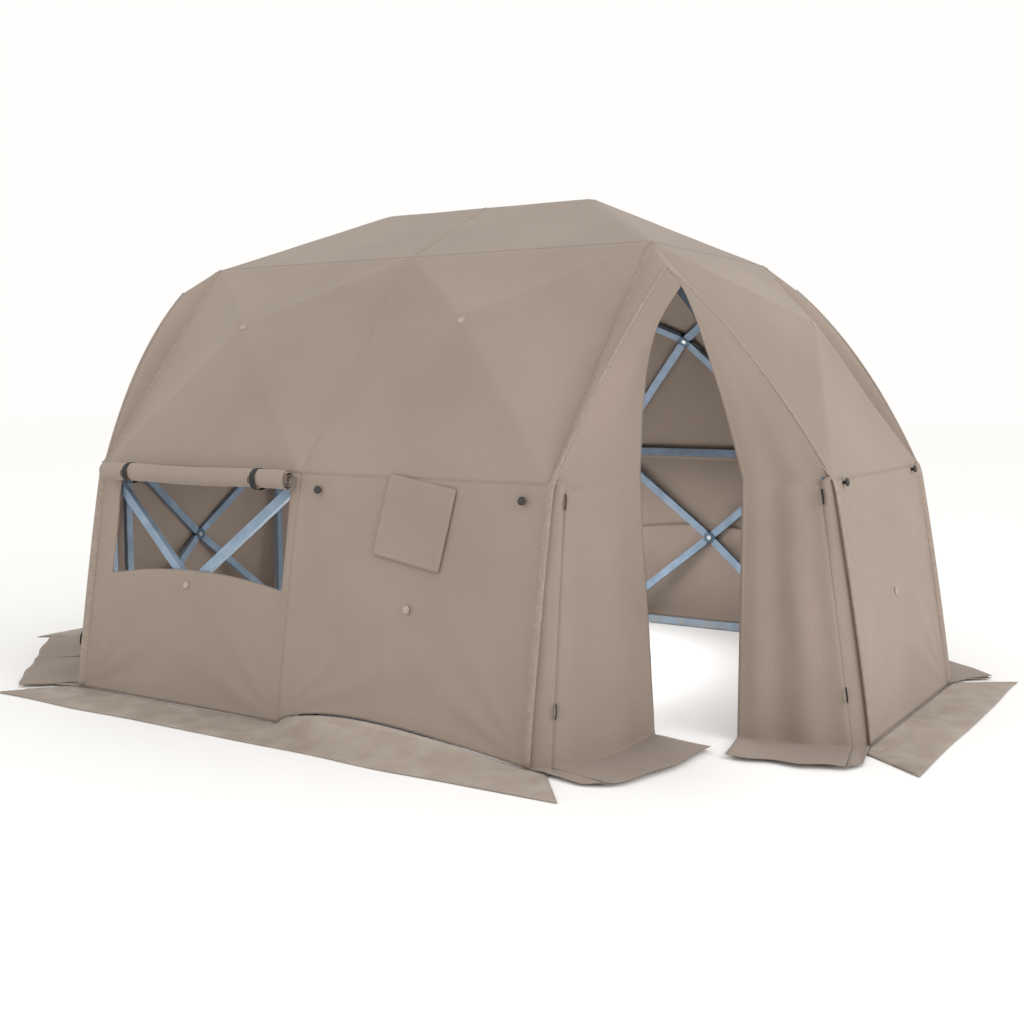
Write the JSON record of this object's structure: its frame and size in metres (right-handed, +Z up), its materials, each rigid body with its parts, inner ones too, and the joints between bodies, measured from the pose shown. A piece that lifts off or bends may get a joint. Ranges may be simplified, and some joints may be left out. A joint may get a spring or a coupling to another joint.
{
  "type": "frame tent",
  "caption": "Quick-erect frame tent: coated cloth over a hub-and-strut tube frame, with a hipped roof, corner doors, a window, port flaps and ground flaps.",
  "frame": {"origin": "on the ground at the middle of the plan", "axes": "+X along the two bays, +Z up; the long wall with the open window faces -Y"},
  "size_m": [6.454, 4.854, 3.0317],
  "materials": {
    "cover_cloth": "coated woven polyester, tan, matt",
    "door_cloth": "coated woven polyester, tan, matt",
    "flap_cloth": "coated woven polyester, tan, dusty",
    "frame_tube": "blue powder coat, satin",
    "hub_casting": "darker blue powder coat, satin",
    "pin_steel": "zinc plated",
    "pad_rubber": "matt",
    "black_webbing": "woven webbing",
    "black_rubber": "matt moulded rubber",
    "ground_plate_plastic": "moulded, sand coloured",
    "button_cloth": "stitched patch, lighter tan"
  },
  "bodies": {
    "root": {"foot_pads": "pad_rubber", "ground_hubs": "hub_casting", "posts": "frame_tube", "ground_bars": "frame_tube", "eave_hubs": "hub_casting", "eave_bars": "frame_tube", "rafters": "frame_tube", "lower_struts_long_walls": "frame_tube", "lower_struts_end_walls": "frame_tube", "lower_centre_hubs": "hub_casting", "lower_hub_pins": "pin_steel", "upper_struts_long_walls": "frame_tube", "upper_struts_end_walls": "frame_tube", "upper_centre_hubs": "hub_casting", "upper_hub_pins": "pin_steel", "roof_hubs": "hub_casting", "roof_bars": "frame_tube", "roof_struts": "frame_tube", "roof_centre_hubs": "hub_casting", "roof_hub_pins": "pin_steel", "roof_cover": "cover_cloth", "upper_wall_cover": "cover_cloth", "lower_wall_window_bays": "cover_cloth", "lower_wall_port_bays": "cover_cloth", "lower_wall_ends": "cover_cloth", "door_hoods": "cover_cloth", "door_top_curtains": "door_cloth", "door_jamb_strips": "door_cloth", "ground_flaps": "flap_cloth", "ground_plates": "ground_plate_plastic", "window_roll": "cover_cloth", "window_straps": "black_webbing", "guy_knobs": "black_rubber", "tie_tabs": "black_webbing", "lower_hub_buttons": "button_cloth", "upper_hub_buttons": "button_cloth"},
    "leaf_southeast_left": {"leaf_southeast_left": "door_cloth"},
    "leaf_southeast_right": {"leaf_southeast_right": "door_cloth"},
    "leaf_northeast_left": {"leaf_northeast_left": "door_cloth"},
    "leaf_northeast_right": {"leaf_northeast_right": "door_cloth"},
    "leaf_northwest_left": {"leaf_northwest_left": "door_cloth"},
    "leaf_northwest_right": {"leaf_northwest_right": "door_cloth"},
    "leaf_southwest_left": {"leaf_southwest_left": "door_cloth"},
    "leaf_southwest_right": {"leaf_southwest_right": "door_cloth"},
    "north_window_flap": {"north_window_flap": "cover_cloth"},
    "south_port_flap": {"south_port_flap": "cover_cloth"},
    "north_port_flap": {"north_port_flap": "cover_cloth"}
  },
  "joints": [
    {"name": "door_southeast_left", "type": "hinge", "parent": "root", "child": "leaf_southeast_left", "pos_m": [1.6455, -1.801, 0], "axis": [0, 0, 1], "range_deg": [-55, 65]},
    {"name": "door_southeast_right", "type": "hinge", "parent": "root", "child": "leaf_southeast_right", "pos_m": [2.601, -0.8455, 0], "axis": [0, 0, -1], "range_deg": [-45, 75]},
    {"name": "door_northeast_left", "type": "hinge", "parent": "root", "child": "leaf_northeast_left", "pos_m": [2.601, 0.8455, 0], "axis": [0, 0, 1], "range_deg": [-30, 90]},
    {"name": "door_northeast_right", "type": "hinge", "parent": "root", "child": "leaf_northeast_right", "pos_m": [1.6455, 1.801, 0], "axis": [0, 0, -1], "range_deg": [-30, 90]},
    {"name": "door_northwest_left", "type": "hinge", "parent": "root", "child": "leaf_northwest_left", "pos_m": [-1.6455, 1.801, 0], "axis": [0, 0, 1], "range_deg": [-30, 90]},
    {"name": "door_northwest_right", "type": "hinge", "parent": "root", "child": "leaf_northwest_right", "pos_m": [-2.601, 0.8455, 0], "axis": [0, 0, -1], "range_deg": [-30, 90]},
    {"name": "door_southwest_left", "type": "hinge", "parent": "root", "child": "leaf_southwest_left", "pos_m": [-2.601, -0.8455, 0], "axis": [0, 0, 1], "range_deg": [-30, 90]},
    {"name": "door_southwest_right", "type": "hinge", "parent": "root", "child": "leaf_southwest_right", "pos_m": [-1.6455, -1.801, 0], "axis": [0, 0, -1], "range_deg": [-30, 90]},
    {"name": "north_window_flap_lift", "type": "hinge", "parent": "root", "child": "north_window_flap", "pos_m": [0.752, 1.86667, 1.33496], "axis": [1, 0, 0], "range_deg": [0, 120]},
    {"name": "south_port_flap_lift", "type": "hinge", "parent": "root", "child": "south_port_flap", "pos_m": [0.83442, -1.86238, 1.3609], "axis": [-0.9877, 0.0255, 0.1543], "range_deg": [0, 150]},
    {"name": "north_port_flap_lift", "type": "hinge", "parent": "root", "child": "north_port_flap", "pos_m": [-0.83442, 1.86238, 1.3609], "axis": [0.9877, -0.0255, 0.1543], "range_deg": [0, 150]}
  ]
}
